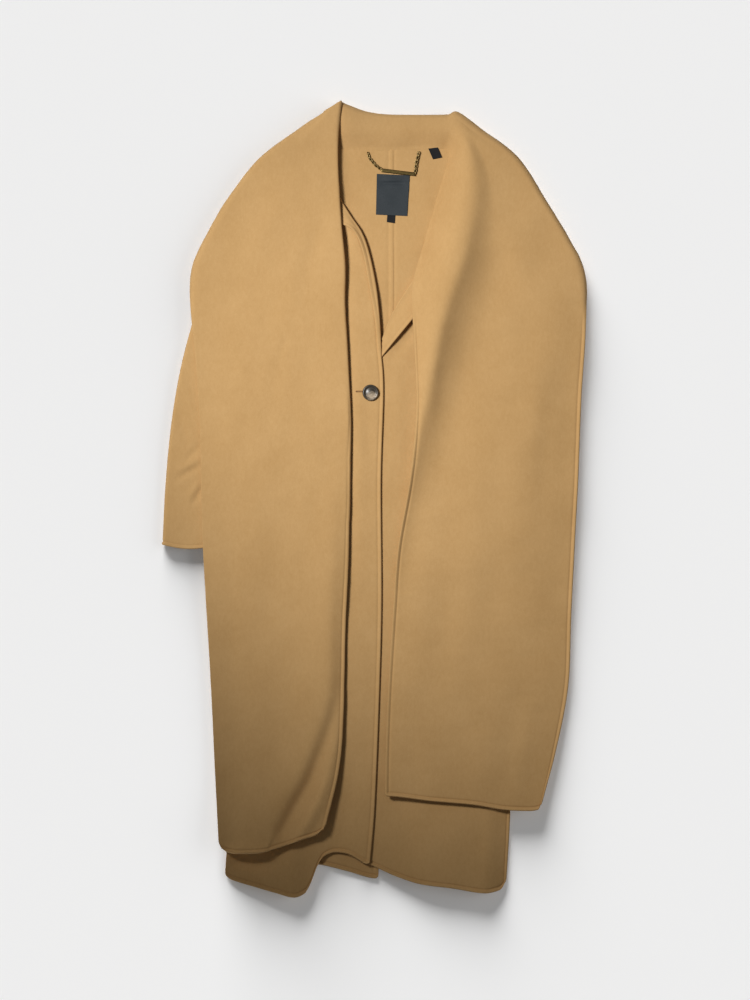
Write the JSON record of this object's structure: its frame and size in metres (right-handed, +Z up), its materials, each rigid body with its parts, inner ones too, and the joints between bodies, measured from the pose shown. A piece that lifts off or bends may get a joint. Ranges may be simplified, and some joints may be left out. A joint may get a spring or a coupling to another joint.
{
  "type": "long wool coat with attached scarf, laid flat",
  "caption": "Straight single-breasted long wool coat with a scarf collar sewn to the neck that falls down both fronts, laid flat on its back.",
  "frame": {"origin": "centre of the coat's bounding box, on the surface it lies on", "axes": "+X to the right as laid out, +Y up the coat to the collar, +Z up from the surface"},
  "size_m": [0.6812, 1.2707, 0.0359],
  "materials": {
    "wool": "brushed double-faced camel wool",
    "horn": "polished dark horn",
    "label": "smooth woven satin",
    "loop_metal": "antique brass"
  },
  "bodies": {
    "coat": {"back_left": "wool", "back_right": "wool", "front_left": "wool", "front_right": "wool", "lapel_left": "wool", "lapel_right": "wool", "sleeve_left": "wool", "sleeve_right": "wool", "scarf_stand": "wool", "scarf_back": "wool", "scarf_left": "wool", "scarf_right": "wool", "button": "horn", "label_main": "label", "label_size": "label", "label_care": "label"},
    "hanger_loop": {"loop_chain_left": "loop_metal", "loop_bar": "loop_metal", "loop_chain_right": "loop_metal"}
  },
  "joints": [
    {"name": "loop_swing", "type": "hinge", "parent": "coat", "child": "hanger_loop", "pos_m": [0.03048, 0.55759, 0.0062], "axis": [-1, 0, 0], "range_deg": [0, 85]}
  ]
}
